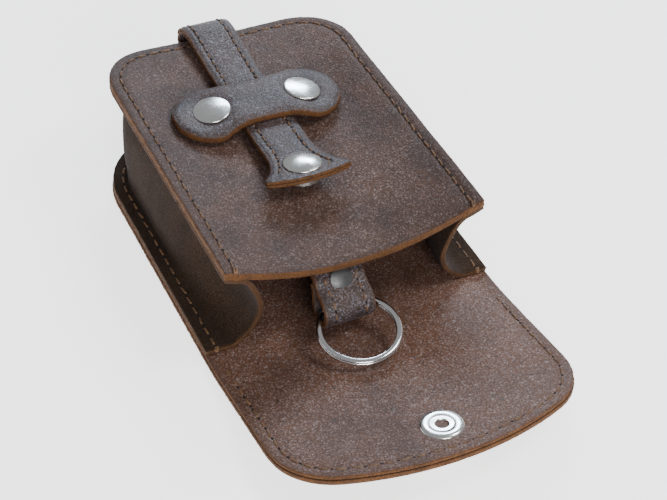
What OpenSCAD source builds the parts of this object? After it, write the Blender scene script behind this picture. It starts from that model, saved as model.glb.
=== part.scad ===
// Leather key case: a sewn pouch with a snap flap, a split ring and the strap that pulls the ring in.
// The origin is on the underside of the back, on the centre line where the mouth begins.
// +Y runs from the mouth to the closed end and +Z runs up through the front.

/* [Body] */
// Width of the front panel
front_w = 84; // [76:1:92]
// Length of the front panel along its middle
front_l = 110; // [104:1:120]
// Height of the front panel's upper face at its sides
depth = 35.4; // [34.8:0.2:36]
// How far the front panel hangs down in the middle at the closed end
dip_end = 4; // [3.5:0.5:5]
// How much further it hangs down at the mouth
dip_mouth = 6; // [5:0.5:6.5]
// Length of the back, from the mouth to the line where the gusset meets it
back_l = 94; // [92:1:98]
// Radius of the corners at the closed end
corner_r = 19; // [16:1:24]
// Rise of the closed end's shallow arc
end_rise = 3; // [2:0.5:6]
// How far the back stands out past the front all round
back_step = 5.5; // [5:0.1:6]

/* [Leather] */
// Thickness of the front panel and the keeper
thick_ply = 2.6; // [2.2:0.1:2.8]
// Thickness of the gusset
gusset_t = 1.8; // [1.4:0.1:2]
// Thickness of the outer leather of the back and flap
outer_t = 1.6; // [1.4:0.1:1.8]
// Thickness of the lining of the back and flap
lining_t = 1.4; // [1.2:0.1:1.6]
// Thickness of each of the strap's two plies
strap_ply = 1.2; // [1:0.1:1.3]

/* [Flap] */
// Length of the stretch of flap that covers the mouth
flap_mid_l = 40; // [38:0.5:44]
// Length of the flap's end stretch
flap_tip_l = 24; // [20:0.5:26]
// Corner radius of the flap
flap_r = 20; // [16:1:22]
// Rise of the arc at the flap's end
flap_rise = 12; // [8:1:13]
// Slope of the open flap's first stretch
flap_mid_slope = 8; // [6:0.5:8]
// Slope of the open flap's end stretch
flap_tip_slope = 13; // [10:0.5:14]

/* [Strap] */
// Width of the pull strap
strap_w = 16.4; // [14:0.2:17]
// Width of the flared end of the tail
tail_w = 28; // [24:1:30]
// How steeply the tail lifts off the front
tail_slope = 9; // [8:1:12]
// How far the strap is set to the left of the middle
strap_shift = 2; // [0:0.5:3]

/* [Hardware] */
// Diameter of the rivet caps and snap cap
cap_d = 12; // [10:0.5:12.5]
// Outside diameter of the split ring
ring_d = 25.4; // [24:0.2:26]
// Distance between the keeper's rivets
rivet_gap = 31; // [29:0.5:32]

/* [Hidden] */
$fn = 64;

leather = "saddlebrown";
dark_leather = "#4a3020";
edge_leather = "#8a5a30";
thread = "tan";
steel = "silver";

half_w = front_w / 2;
back_t = outer_t + lining_t;
gap = 0.3;
sliver = 0.05;

// Threads lie on the leather as narrow beads
thread_w = 0.8;
thread_h = 0.5;
seam_inset = 3.5;

// ---- Outlines ----

// Radius of the shallow arc that crosses a half width of w with the given rise
function arc_radius(w, rise) = (w * w + rise * rise) / (2 * rise);

// The end of a panel as stations [centre x, centre y, radius, angle], from right to left
function end_stations(w, length, r, rise) =
    let (
        arc = arc_radius(w, rise),
        arc_y = length - arc,
        corner_y = arc_y + sqrt((arc - r) * (arc - r) - (w - r) * (w - r)),
        turn = atan2(corner_y - arc_y, w - r)
    )
    concat(
        [for (i = [0:5]) [w - r, corner_y, r, turn * i / 6]],
        [for (i = [0:8]) [0, arc_y, arc, turn + (180 - 2 * turn) * i / 8]],
        [for (i = [5:-1:0]) [r - w, corner_y, r, 180 - turn * i / 6]]
    );

// The straight sides before and after the end, from y = start up to the corner
function side_stations(w, start, stop, r, right) =
    [for (i = [0:4])
        let (y = right ? start + (stop - start) * i / 5 : stop - (stop - start) * (i + 1) / 5)
        [right ? w - r : r - w, y, r, right ? 0 : 180]];

function panel_stations(w, start, length, r, rise) =
    let (ends = end_stations(w, length, r, rise))
    concat(
        side_stations(w, start, ends[0][1], r, true),
        ends,
        side_stations(w, start, ends[0][1], r, false)
    );

function on_station(s, out) = [s[0] + (s[2] + out) * cos(s[3]), s[1] + (s[2] + out) * sin(s[3])];

front_stations = panel_stations(half_w, 0, front_l, corner_r, end_rise);
back_stations = panel_stations(half_w, 0, back_l, corner_r, end_rise);
flap_l = flap_mid_l + flap_tip_l;
flap_stations = panel_stations(half_w + back_step, 0, flap_l, flap_r, flap_rise);

module outline(stations, out) {
    polygon([for (s = stations) on_station(s, out)]);
}

// ---- Solids from curved sheets ----

// A closed solid between two grids of points, upper and lower, each a list of rows
module slab(upper, lower) {
    rows = len(upper);
    cols = len(upper[0]);
    count = rows * cols;
    up = [for (row = upper) for (p = row) p];
    low = [for (row = lower) for (p = row) p];
    rim = concat(
        [for (j = [0:cols - 1]) j],
        [for (i = [1:rows - 1]) i * cols + cols - 1],
        [for (j = [cols - 2:-1:0]) (rows - 1) * cols + j],
        [for (i = [rows - 2:-1:1]) i * cols]
    );
    top_faces = [for (i = [0:rows - 2]) for (j = [0:cols - 2])
        let (a = i * cols + j, b = a + 1, c = a + cols, d = c + 1)
        each [[a, b, d], [a, d, c]]];
    bottom_faces = [for (f = top_faces) [f[2] + count, f[1] + count, f[0] + count]];
    edge_faces = [for (k = [0:len(rim) - 1])
        let (a = rim[k], b = rim[(k + 1) % len(rim)])
        each [[b, a, a + count], [b, a + count, b + count]]];
    polyhedron(points = concat(up, low), faces = concat(top_faces, bottom_faces, edge_faces));
}

// Height of the front panel's upper face
function front_z(x, y) =
    let (s = max(0, 1 - y / front_l), across = 1 - min(1, abs(x) / half_w) ^ 2)
    depth - (dip_mouth * s ^ 1.5 + dip_end) * across;

// ---- Case body ----

rivet_y = 68;
rivet_r = 1.6;
rivet_xs = [-strap_shift - rivet_gap / 2, -strap_shift + rivet_gap / 2];

module front_panel() {
    columns = 9;
    rows = 12;
    ends = end_stations(half_w, front_l, corner_r, end_rise);
    arc = arc_radius(half_w, end_rise);
    corner_y = ends[0][1];
    corner_x = half_w - corner_r;
    join_x = corner_x + corner_r * cos(atan2(corner_y - (front_l - arc), corner_x));
    function far_y(x) =
        abs(x) < join_x
            ? front_l - arc + sqrt(arc * arc - x * x)
            : corner_y + sqrt(max(0, corner_r * corner_r - (abs(x) - corner_x) ^ 2));
    function face(drop) =
        [for (i = [-columns:columns])
            let (x = half_w * sin(90 * i / columns), stop = far_y(x))
            [for (j = [0:rows]) [x, stop * j / rows, front_z(x, stop * j / rows) - drop]]];
    color(leather)
    difference() {
        slab(face(0), face(thick_ply));
        for (x = rivet_xs) translate([x, rivet_y, 0]) cylinder(r = rivet_r, h = 2 * depth);
    }
}

// The gusset's section as [distance in from the panels' edges, share of the height].
// It folds in at the mouth and stands straight round the closed end.
mouth_section = [
    [0.4, 1], [6.6, 1], [9, 0.9], [11, 0.7], [11.6, 0.5], [10.4, 0.3], [7.4, 0.12], [3, 0], [-5, 0]
];
far_section = [
    [0.4, 1], [6, 1], [5.6, 0.9], [3.4, 0.7], [1.8, 0.5], [0.8, 0.3], [0.8, 0.12], [0, 0], [-5, 0]
];
unfold_y = 60;
slot_w = strap_w + 3;
slot_y = 97;
slot_l = 10;
slot_low = 22.7;
slot_high = 26.6;

module gusset() {
    // The middle of the section at a station: [distance in from the front's edge, height]
    function centre_line(f, b) =
        let (
            lean = norm(on_station(f, 0) - on_station(b, 0)) * sin(f[3]),
            open = min(1, on_station(f, 0)[1] / unfold_y),
            share = open * open * (3 - 2 * open)
        )
        [for (k = [0:len(mouth_section) - 1])
            let (
                p = mouth_section[k] * (1 - share) + far_section[k] * share,
                xy = on_station(f, -p[0]),
                top = front_z(xy[0], xy[1]) - thick_ply - gusset_t / 2 - gap,
                bottom = back_t + gusset_t / 2 + sliver
            )
            [p[0] + lean * (1 - p[1]), bottom + (top - bottom) * p[1]]];
    function skin(i, side) =
        let (
            f = front_stations[i],
            b = back_stations[i],
            line = centre_line(f, b),
            last = len(line) - 1,
            shift = on_station(b, 0) - on_station(f, 0)
        )
        [for (k = [0:last])
            let (
                along = line[min(k + 1, last)] - line[max(k - 1, 0)],
                normal = [along[1], -along[0]] / norm(along),
                p = line[k] + side * gusset_t / 2 * normal,
                drop = 1 - mouth_section[k][1],
                lean = norm(shift) * sin(f[3]),
                xy = on_station(f, -p[0] + lean * drop) + shift * drop
            )
            [xy[0], xy[1], p[1]]];
    all = [0:len(front_stations) - 1];
    color(dark_leather)
    difference() {
        slab([for (i = all) skin(i, 1)], [for (i = all) skin(i, -1)]);
        translate([-strap_shift - slot_w / 2, slot_y, slot_low])
            cube([slot_w, slot_l, slot_high - slot_low]);
    }
}

// The leather folds about this line where the back runs out into the flap
fold_y = -5;
fold_z = back_t / 2;

// One ply of the back between two heights, with room for the flap to turn
module back_ply(low, high) {
    difference() {
        translate([0, 0, low])
            linear_extrude(high - low)
            union() {
                outline(back_stations, back_step);
                translate([-half_w - back_step, fold_y])
                    square([front_w + 2 * back_step, -fold_y + 1]);
            }
        translate([-front_w, fold_y, fold_z])
            rotate([0, 90, 0])
            cylinder(r = fold_z + gap, h = 2 * front_w);
        translate([-front_w, fold_y - 1, fold_z])
            cube([2 * front_w, 1 + fold_z + gap, back_t]);
    }
}

module back_leather() {
    color(leather) back_ply(0, outer_t);
}

module back_lining() {
    color(leather) back_ply(outer_t, back_t);
}

// A bead of thread along stations, set in from the edge, on a surface of height z
module bead(stations, inset, z) {
    translate([0, 0, z])
        linear_extrude(thread_h)
        polygon(concat(
            [for (s = stations) on_station(s, -inset)],
            [for (k = [len(stations) - 1:-1:0]) on_station(stations[k], -inset - thread_w)]
        ));
}

module front_seam() {
    function row(s, lift) =
        [for (inset = [seam_inset, seam_inset + thread_w])
            let (p = on_station(s, -inset)) [p[0], p[1], front_z(p[0], p[1]) + lift]];
    clear = 0.15;
    color(thread)
    slab(
        [for (s = front_stations) row(s, clear + thread_h)],
        [for (s = front_stations) row(s, clear)]
    );
}

module back_seam() {
    color(thread)
    bead(back_stations, seam_inset - back_step, back_t + gusset_t + 2 * sliver);
}

// ---- Keeper ----

keeper_low = 33.5;
keeper_arch = 0.9;
lobe_r = 12.2;
waist_r = 9.5;

module keeper() {
    arch_half = strap_w / 2 + 0.2;
    lift = arch_half + 1;
    reach = rivet_gap / 2 + lobe_r;
    color(leather)
    difference() {
        intersection() {
            translate([-strap_shift, rivet_y, 0])
                linear_extrude(2 * depth)
                union() {
                    for (side = [-1, 1]) translate([side * rivet_gap / 2, 0]) circle(r = lobe_r);
                    square([rivet_gap, 2 * waist_r], center = true);
                }
            translate([-strap_shift, rivet_y + 2 * lobe_r, keeper_low])
                rotate([90, 0, 0])
                linear_extrude(4 * lobe_r)
                polygon([
                    [-reach, 0], [-lift, 0], [-arch_half, keeper_arch], [arch_half, keeper_arch],
                    [lift, 0], [reach, 0], [reach, thick_ply], [lift, thick_ply],
                    [arch_half, thick_ply + keeper_arch], [-arch_half, thick_ply + keeper_arch],
                    [-lift, thick_ply], [-reach, thick_ply]
                ]);
        }
        for (x = rivet_xs) translate([x, rivet_y, 0]) cylinder(r = rivet_r, h = 2 * depth);
    }
}

// A domed cap with its flat side at z = 0
module dome(d, h) {
    ball = (d * d / 4 + h * h) / (2 * h);
    intersection() {
        translate([0, 0, h - ball]) sphere(r = ball, $fn = 96);
        cylinder(d = d, h = h);
    }
}

cap_rim = 0.5;
cap_dome = 1.1;

module cap(d) {
    cylinder(d = d, h = cap_rim);
    translate([0, 0, cap_rim]) dome(d, cap_dome);
}

rivet_end = 26;

module keeper_rivets() {
    color(steel)
    for (x = rivet_xs) translate([x, rivet_y, 0]) {
        translate([0, 0, keeper_low + thick_ply]) cap(cap_d);
        translate([0, 0, rivet_end]) cylinder(r = rivet_r, h = keeper_low + thick_ply - rivet_end);
    }
}

module rivet_backs() {
    color(steel)
    for (x = rivet_xs) translate([x, rivet_y, rivet_end]) difference() {
        cylinder(d = cap_d - 3, h = 1.2);
        cylinder(r = rivet_r, h = 2);
    }
}

// ---- Pull strap on the front ----

strap_low = 31.1;
strap_mid = strap_low + strap_ply;
strap_stop = 77.8;
tail_bend = 45;
tail_end = 27;
tail_bulge = 2.4;
cap_y = 34.6;

// A strip with the given centre line in the YZ plane, between two offsets from that line
module strip(line, low, high, width) {
    last = len(line) - 1;
    function shifted(k, d) =
        let (
            along = line[min(k + 1, last)] - line[max(k - 1, 0)],
            normal = [-along[1], along[0]] / norm(along)
        )
        line[k] + d * normal;
    points = concat(
        [for (k = [0:last]) shifted(k, low)],
        [for (k = [last:-1:0]) shifted(k, high)]
    );
    rotate([90, 0, 90])
        translate([0, 0, -width / 2])
        linear_extrude(width)
        polygon(points);
}

// The strap's outline from above: parallel sides, then the flared tail with its curved end
module strap_outline(inset) {
    half = strap_w / 2 - inset;
    flare = tail_w / 2 - inset;
    corner_y = tail_end + tail_bulge;
    tip_r = arc_radius(tail_w / 2, tail_bulge);
    side = [for (s = [0:0.2:0.8]) [half + (flare - half) * s ^ 2.2, tail_bend + s * (corner_y - tail_bend)]];
    tip = [for (a = [1:-0.25:-1])
        let (x = a * flare)
        [x, tail_end + inset + tip_r - sqrt(tip_r * tip_r - x * x)]];
    polygon(concat(
        [[half, strap_stop]],
        side,
        tip,
        [for (k = [len(side) - 1:-1:0]) [-side[k][0], side[k][1]]],
        [[-half, strap_stop]]
    ));
}

function tail_line() = [
    [tail_end - 2, strap_mid + tan(tail_slope) * (tail_bend - tail_end + 2)],
    [tail_bend, strap_mid],
    [strap_stop, strap_mid]
];

// One ply of the strap and tail, between two offsets from the middle of its thickness
module strap_layer(low, high) {
    translate([-strap_shift, 0, 0])
    intersection() {
        linear_extrude(2 * depth) strap_outline(0);
        strip(tail_line(), low, high, tail_w + 2);
    }
}

// Sets children on the tail where the snap is, along the tail's own slope
module on_tail(offset) {
    translate([-strap_shift, cap_y, strap_mid + tan(tail_slope) * (tail_bend - cap_y)])
        rotate([-tail_slope, 0, 0])
        translate([0, 0, offset])
        children();
}

post_r = 1.5;

module strap_face() {
    color(leather) difference() {
        strap_layer(0, strap_ply);
        on_tail(-5) cylinder(r = post_r, h = 10);
    }
}

module strap_lining() {
    color(edge_leather) difference() {
        strap_layer(-strap_ply, 0);
        on_tail(-5) cylinder(r = post_r, h = 10);
    }
}

module strap_seams() {
    inset = 3;
    color(thread)
    difference() {
        translate([-strap_shift, 0, 0])
            intersection() {
                linear_extrude(2 * depth) difference() {
                    strap_outline(inset);
                    strap_outline(inset + thread_w);
                }
                strip(tail_line(), strap_ply + 0.01, strap_ply + thread_h, tail_w + 2);
            }
        on_tail(0) cylinder(d = cap_d + gap, h = 5 * thread_h);
    }
}

module snap_cap() {
    color(steel) {
        on_tail(strap_ply) cap(cap_d);
        on_tail(-strap_ply) cylinder(r = post_r, h = 2 * strap_ply);
    }
}

socket_h = 2.6;

module snap_socket() {
    color(steel)
    on_tail(-strap_ply - socket_h) difference() {
        cylinder(d = cap_d - 1.5, h = socket_h);
        translate([0, 0, -1]) cylinder(d = 6, h = socket_h);
    }
}

// Where the strap runs on from the keeper, folds over the closed end and goes in through its slot
bend_line = [
    [strap_stop + gap, strap_mid], [95, 33.4], [106, 34.4], [111, 34.3], [114, 32.6],
    [115, 30.1], [113.7, 27], [110.6, 25.3], [104, 25.1], [94, 24.2]
];

module strap_bend_face() {
    color(leather)
    translate([-strap_shift, 0, 0]) strip(bend_line, 0, strap_ply, strap_w);
}

module strap_bend_lining() {
    color(edge_leather)
    translate([-strap_shift, 0, 0]) strip(bend_line, -strap_ply, 0, strap_w);
}

// ---- Strap inside the case, its loop and the split ring ----

loop_x = -4.6;
hinge_y = 2.5;
hinge_z = 19.4;
inner_stop = 62;
loop_slope = 50;
eye_t = 9.8;
eye_r = 3;
eye_l = 7.6;
lower_leg_t = 1;
loop_rivet_t = 2.4;
loop_rivet_r = 1.2;
rivet_head_d = 7;

// One ply of the inner strap, cut round the line where the loop bends down
module inner_ply(low, high) {
    translate([loop_x - strap_w / 2, hinge_y, hinge_z])
        difference() {
            translate([0, 0, low]) cube([strap_w, inner_stop - hinge_y, high - low]);
            translate([-1, 0, 0]) rotate([0, 90, 0]) cylinder(r = strap_ply + gap, h = strap_w + 2);
        }
}

module inner_strap_face() {
    color(leather) inner_ply(0, strap_ply);
}

module inner_strap_lining() {
    color(edge_leather) inner_ply(-strap_ply, 0);
}

// Places children on the loop: X down along it, Z up off its face, from the line where it bends
module on_loop() {
    translate([loop_x, hinge_y, hinge_z])
        rotate([loop_slope, 0, 0])
        rotate([0, 0, -90])
        children();
}

// A drop round the loop's eye, with its point towards the bend, in the loop's side view
module drop(r) {
    lean = asin(eye_r / eye_l);
    translate([eye_t, -strap_ply]) {
        circle(r = r);
        polygon([[-r * sin(lean), r * cos(lean)], [-r / sin(lean), 0], [-r * sin(lean), -r * cos(lean)]]);
    }
}

// The loop's side view out to a distance from the plies' common face
module loop_side(out) {
    pinch = eye_t - eye_l;
    intersection() {
        drop(eye_r + out);
        translate([pinch, -2 * eye_t]) square(4 * eye_t);
    }
    translate([0, -strap_ply]) square([pinch + sliver, out]);
    translate([lower_leg_t, -strap_ply - out]) square([pinch + sliver - lower_leg_t, out]);
}

// One ply of the loop, between two distances out from the plies' common face
module loop_ply(inside, outside) {
    on_loop()
    difference() {
        rotate([90, 0, 0])
            translate([0, 0, -strap_w / 2])
            linear_extrude(strap_w)
            difference() {
                loop_side(outside);
                if (inside == 0) drop(eye_r);
                else loop_side(inside);
            }
        translate([loop_rivet_t, 0, -eye_t]) cylinder(r = loop_rivet_r, h = 2 * eye_t);
        translate([loop_rivet_t, 0, strap_ply]) cylinder(d = rivet_head_d, h = eye_t);
        translate([loop_rivet_t, 0, -3 * strap_ply - eye_t]) cylinder(d = rivet_head_d, h = eye_t);
    }
}

module loop_face() {
    color(leather) loop_ply(strap_ply, 2 * strap_ply);
}

module loop_lining() {
    color(edge_leather) loop_ply(0, strap_ply);
}

module loop_rivet() {
    head_h = 1.1;
    back_h = 0.8;
    head_d = rivet_head_d;
    low = -3 * strap_ply;
    color(steel) on_loop() translate([loop_rivet_t, 0, 0]) {
        translate([0, 0, strap_ply]) cylinder(d1 = head_d, d2 = head_d - 2 * head_h, h = head_h);
        translate([0, 0, low - back_h]) cylinder(r = loop_rivet_r, h = strap_ply + back_h - low + 0.5);
        translate([0, 0, low - back_h]) cylinder(d = head_d - 1, h = back_h);
    }
}

ring_wire = 1.7;
ring_pitch = 5.5;
ring_roll = 3;
ring_y = -13;
ring_z = 10.25;

module split_ring() {
    middle = (ring_d - ring_wire) / 2;
    coil = ring_wire / 2;
    flat = coil - 0.25;
    color(steel)
    translate([loop_x, ring_y, ring_z])
        rotate([ring_pitch, 0, 0])
        rotate([0, -ring_roll, 0])
        rotate_extrude()
        translate([middle, 0])
        polygon([
            [-coil, -0.8], [-flat, -1], [flat, -1], [coil, -0.8], [coil, -0.2], [flat, 0],
            [coil, 0.2], [coil, 0.8], [flat, 1], [-flat, 1], [-coil, 0.8], [-coil, 0.2],
            [-flat, 0], [-coil, -0.2]
        ]);
}

// ---- Flap ----

// The stretch that covers the mouth lies along -Y from the fold, lifted by its slope
module at_flap_mid() {
    translate([0, fold_y, fold_z]) rotate([-flap_mid_slope, 0, 0]) children();
}

module at_flap_tip() {
    translate([
        0,
        fold_y - flap_mid_l * cos(flap_mid_slope),
        fold_z + flap_mid_l * sin(flap_mid_slope)
    ])
        rotate([-flap_tip_slope, 0, 0])
        children();
}

// The flap's outline, cut to the stretch between two distances from the fold
module flap_outline(from, to, out) {
    translate([0, from])
    intersection() {
        rotate(180) outline(flap_stations, out);
        translate([-front_w, -to]) square([2 * front_w, to - from]);
    }
}

// One ply of a stretch of flap that turns about its local origin, between two heights
module flap_ply(from, to, low, high) {
    width = front_w + 2 * back_step - 1;
    translate([0, 0, low]) linear_extrude(high - low) flap_outline(from, to, 0);
    intersection() {
        translate([-width / 2, 0, 0]) rotate([0, 90, 0]) cylinder(r = fold_z, h = width);
        translate([-front_w, -back_t, low]) cube([2 * front_w, 2 * back_t, high - low]);
    }
}

// A ply of the stretch over the mouth, cut where the end stretch turns
module flap_mid_ply(low, high) {
    difference() {
        flap_ply(0, flap_mid_l, low, high);
        translate([-front_w, -flap_mid_l, 0]) {
            rotate([0, 90, 0]) cylinder(r = fold_z + gap, h = 2 * front_w);
            translate([0, -1, 0]) cube([2 * front_w, 1 + fold_z + gap, back_t]);
        }
    }
}

ply_line = outer_t - fold_z;
snap_from_end = 13;
eyelet_r = 2.6;
eyelet_hole_r = 1.8;

// A ply of the end stretch, with the hole for the snap
module flap_tip_ply(low, high) {
    difference() {
        flap_ply(flap_mid_l, flap_l, low, high);
        on_snap(-back_t) cylinder(r = eyelet_r, h = 2 * back_t);
    }
}

// Places children at the flap's snap, on the flap's own slope
module on_snap(offset) {
    translate([0, snap_from_end - flap_tip_l, offset]) children();
}

// The thread along the flap's edge, clear of the folds at both ends
module flap_bead(from, to) {
    margin = 3;
    translate([0, 0, fold_z + sliver])
        linear_extrude(thread_h)
        intersection() {
            difference() {
                flap_outline(from, to, -seam_inset);
                flap_outline(from, to, -seam_inset - thread_w);
            }
            translate([-front_w, from - to - front_w]) square([2 * front_w, to - from + front_w - margin]);
        }
}

module flap_mid_leather() {
    color(leather) at_flap_mid() flap_mid_ply(-fold_z, ply_line);
}

module flap_mid_lining() {
    color(leather) at_flap_mid() flap_mid_ply(ply_line, fold_z);
}

module flap_mid_seam() {
    color(thread) at_flap_mid() difference() {
        flap_bead(0, flap_mid_l);
        translate([-front_w, -flap_mid_l - 1, 0]) cube([2 * front_w, 4, back_t]);
    }
}

module flap_tip_leather() {
    color(leather) at_flap_tip() flap_tip_ply(-fold_z, ply_line);
}

module flap_tip_lining() {
    color(leather) at_flap_tip() flap_tip_ply(ply_line, fold_z);
}

module flap_tip_seam() {
    color(thread) at_flap_tip() flap_bead(flap_mid_l, flap_l);
}

module snap_eyelet() {
    flange_d = 12.6;
    flange_h = 0.8;
    color(steel) at_flap_tip() on_snap(0) difference() {
        union() {
            translate([0, 0, fold_z]) cylinder(d = flange_d, h = flange_h);
            translate([0, 0, -fold_z]) cylinder(r = eyelet_r, h = back_t);
        }
        translate([0, 0, -back_t]) cylinder(r = eyelet_hole_r, h = 3 * back_t);
    }
}

module snap_stud() {
    color(steel) at_flap_tip() on_snap(-fold_z) mirror([0, 0, 1]) {
        cylinder(d = 11, h = 0.8);
        cylinder(d = 5.8, h = 3);
        translate([0, 0, 3]) cylinder(d = 6.8, h = 1);
    }
}

front_panel();
gusset();
back_leather();
back_lining();
front_seam();
back_seam();
keeper();
keeper_rivets();
rivet_backs();
strap_bend_face();
strap_bend_lining();
strap_face();
strap_lining();
strap_seams();
snap_cap();
snap_socket();
inner_strap_face();
inner_strap_lining();
loop_face();
loop_lining();
loop_rivet();
split_ring();
flap_mid_leather();
flap_mid_lining();
flap_mid_seam();
flap_tip_leather();
flap_tip_lining();
flap_tip_seam();
snap_stud();
snap_eyelet();
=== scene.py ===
"""Leather key case, shown open. Lengths are in mm unless a name says otherwise."""

import math

import bpy
import numpy as np
from mathutils import Matrix, Vector, noise


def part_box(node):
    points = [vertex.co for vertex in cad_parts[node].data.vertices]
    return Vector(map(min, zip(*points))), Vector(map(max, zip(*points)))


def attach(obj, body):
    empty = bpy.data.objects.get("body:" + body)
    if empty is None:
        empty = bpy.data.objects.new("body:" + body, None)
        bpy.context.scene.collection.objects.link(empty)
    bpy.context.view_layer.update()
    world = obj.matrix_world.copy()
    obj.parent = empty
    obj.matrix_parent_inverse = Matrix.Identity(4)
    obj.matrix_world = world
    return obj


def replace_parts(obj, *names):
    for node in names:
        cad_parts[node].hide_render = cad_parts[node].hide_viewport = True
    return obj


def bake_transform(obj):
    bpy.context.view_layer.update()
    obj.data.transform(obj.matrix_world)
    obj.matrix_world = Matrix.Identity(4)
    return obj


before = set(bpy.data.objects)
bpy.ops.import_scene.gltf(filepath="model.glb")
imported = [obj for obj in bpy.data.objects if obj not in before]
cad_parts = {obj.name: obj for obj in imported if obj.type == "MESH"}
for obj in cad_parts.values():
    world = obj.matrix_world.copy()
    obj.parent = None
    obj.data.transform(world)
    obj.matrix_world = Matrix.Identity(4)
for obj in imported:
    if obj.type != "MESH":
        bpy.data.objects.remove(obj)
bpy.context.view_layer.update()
MM = 0.001
random = np.random.default_rng(7)


# ---- Camera ----


def add_camera():
    azimuth, elevation, roll = (math.radians(a) for a in (-29.90, 43.44, 5.55))
    target = Vector((-1.42, 11.89, 19.0)) * MM
    away = Vector(
        (
            math.sin(azimuth) * math.cos(elevation),
            -math.cos(azimuth) * math.cos(elevation),
            math.sin(elevation),
        )
    )
    right = (-away).cross(Vector((0, 0, 1))).normalized()
    up = right.cross(-away)
    x = right * math.cos(roll) + up * math.sin(roll)
    y = up * math.cos(roll) - right * math.sin(roll)
    data = bpy.data.cameras.new("camera")
    data.lens = 80.96
    data.sensor_width = 36
    data.clip_start = 0.01
    camera = bpy.data.objects.new("camera", data)
    bpy.context.scene.collection.objects.link(camera)
    place = Matrix((x, y, away)).transposed().to_4x4()
    place.translation = target + away * 0.44939
    camera.matrix_world = place
    bpy.context.scene.camera = camera


add_camera()


# ---- Materials ----


class Nodes:
    """Builds one procedural material on a Principled shader."""

    def __init__(self, name):
        self.material = bpy.data.materials.new(name)
        self.material.use_nodes = True
        self.tree = self.material.node_tree
        self.shader = self.tree.nodes["Principled BSDF"]
        self.coord = self.tree.nodes.new("ShaderNodeTexCoord").outputs["Object"]

    def add(self, kind, **inputs):
        n = self.tree.nodes.new(kind)
        for key, value in inputs.items():
            self.put(n.inputs[key], value)
        return n

    def put(self, socket, value):
        if isinstance(value, bpy.types.NodeSocket):
            self.tree.links.new(value, socket)
        else:
            socket.default_value = value

    def noise(self, size_mm, detail=3.0, rough=0.55, stretch=(1, 1, 1), distort=0.0):
        mapping = self.add("ShaderNodeMapping", Vector=self.coord, Scale=stretch)
        n = self.add("ShaderNodeTexNoise", Vector=mapping.outputs[0], Scale=1000 / size_mm)
        n.inputs["Detail"].default_value = detail
        n.inputs["Roughness"].default_value = rough
        n.inputs["Distortion"].default_value = distort
        return n.outputs["Fac"]

    def cells(self, size_mm, feature="DISTANCE_TO_EDGE"):
        n = self.add("ShaderNodeTexVoronoi", Vector=self.coord, Scale=1000 / size_mm)
        n.feature = feature
        return n.outputs["Distance"]

    def ramp(self, value, low, high, from_=0.0, to=1.0):
        n = self.add("ShaderNodeMapRange", Value=value)
        n.clamp = True
        for key, v in zip(("From Min", "From Max", "To Min", "To Max"), (low, high, from_, to)):
            n.inputs[key].default_value = v
        return n.outputs[0]

    def math(self, operation, a, b=0.0):
        n = self.add("ShaderNodeMath")
        n.operation = operation
        self.put(n.inputs[0], a)
        self.put(n.inputs[1], b)
        return n.outputs[0]

    def mix(self, factor, a, b):
        n = self.tree.nodes.new("ShaderNodeMix")
        n.data_type = "RGBA"
        self.put(n.inputs[0], factor)
        for socket, value in ((n.inputs[6], a), (n.inputs[7], b)):
            self.put(socket, (*value, 1) if isinstance(value, tuple) else value)
        return n.outputs[2]

    def attribute(self, name):
        n = self.tree.nodes.new("ShaderNodeAttribute")
        n.attribute_name = name
        return n.outputs["Fac"]

    def bump(self, height, depth_mm, strength=1.0, below=None):
        n = self.add("ShaderNodeBump", Height=height, Strength=strength, Distance=depth_mm * MM)
        if below is not None:
            self.put(n.inputs["Normal"], below)
        return n.outputs[0]

    def set(self, **values):
        for key, value in values.items():
            socket = self.shader.inputs[key.replace("_", " ")]
            self.put(socket, (*value, 1) if isinstance(value, tuple) and len(value) == 3 else value)
        return self.material


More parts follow.
